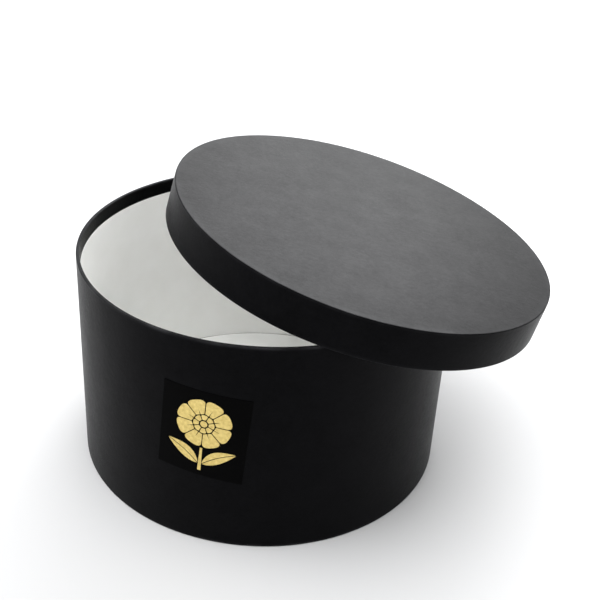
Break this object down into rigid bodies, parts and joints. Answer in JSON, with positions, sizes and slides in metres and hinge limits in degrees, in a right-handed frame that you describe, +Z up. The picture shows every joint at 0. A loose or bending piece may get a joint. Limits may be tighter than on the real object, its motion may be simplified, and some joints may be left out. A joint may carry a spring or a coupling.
{
  "type": "flower box",
  "caption": "Round rigid board box for flowers with a loose skirted lid laid askew on its rim, black paper outside, white lining and a foil flower label.",
  "frame": {"origin": "centre of the underside of the base, on the surface the box stands on", "axes": "+Z up along the box's axis, +X towards the side that the askew lid overhangs, -Y the front, where the label faces"},
  "size_m": [0.3761, 0.308, 0.238],
  "materials": {
    "cover_paper": "satin",
    "liner_paper": "matte",
    "greyboard": "matte",
    "kraft_tape": "satin",
    "label_paper": "satin",
    "gold_foil": "satin"
  },
  "bodies": {
    "box": {"box_wall_board": "greyboard", "box_joint_tape": "kraft_tape", "box_side_cover": "cover_paper", "box_wall_liner": "liner_paper", "box_base_board": "greyboard", "box_floor_paper": "liner_paper", "box_base_cover": "cover_paper", "label": "label_paper", "label_foil_flower": "gold_foil"},
    "lid": {"lid_top_board": "greyboard", "lid_skirt_board": "greyboard", "lid_joint_tape": "kraft_tape", "lid_side_cover": "cover_paper", "lid_top_cover": "cover_paper", "lid_skirt_liner": "liner_paper", "lid_underside_liner": "liner_paper"}
  },
  "joints": [
    {"name": "lid_lift", "type": "slide", "parent": "box", "child": "lid", "axis": [0, 0, 1], "range_m": [0, 0.15]}
  ]
}
